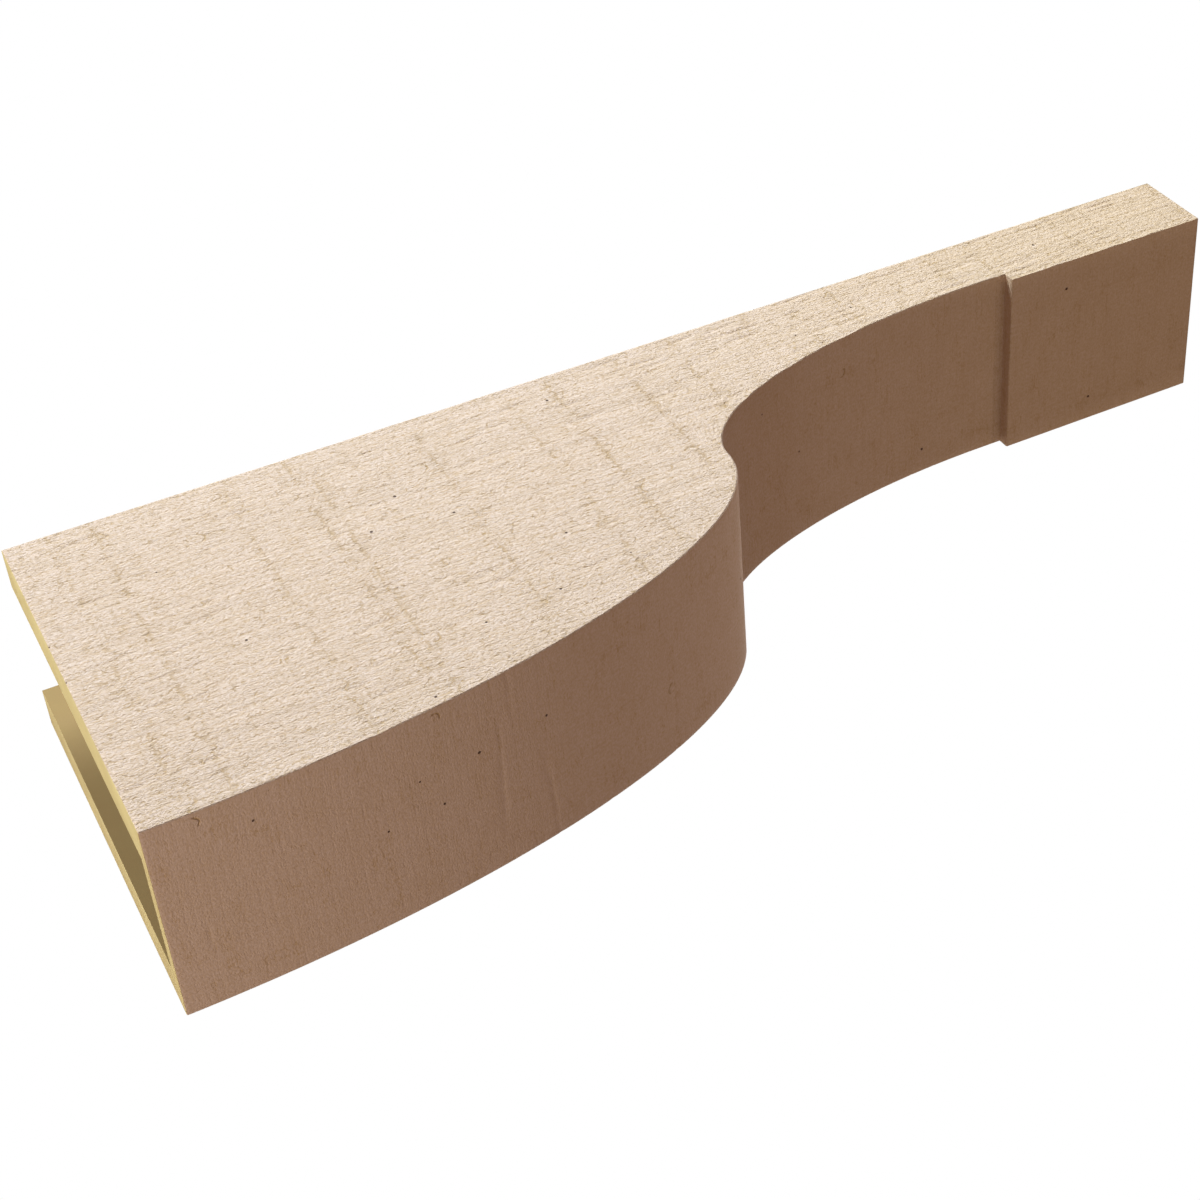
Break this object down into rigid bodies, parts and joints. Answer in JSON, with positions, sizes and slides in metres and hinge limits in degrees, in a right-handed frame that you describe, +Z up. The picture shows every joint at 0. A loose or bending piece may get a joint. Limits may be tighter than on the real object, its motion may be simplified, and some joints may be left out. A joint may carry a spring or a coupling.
{
  "type": "corbel",
  "caption": "Hollow faux-wood corbel with a rafter-tail profile: deep wall end, bulging belly, hollowed neck and straight tail block, open at the wall and along the roof side.",
  "frame": {"origin": "on the wall end, in the middle of the soffit wall's thickness and width", "axes": "+X out from the wall along the length, +Z up to the roof, Y across the corbel"},
  "size_m": [0.6096, 0.1016, 0.2032],
  "materials": {
    "primed_foam": "rigid foam with a rough-sawn wood face in matt tan primer, bare yellow foam at the wall end, the roof edge and inside"
  },
  "bodies": {
    "root": {"corbel": "primed_foam"}
  },
  "joints": []
}
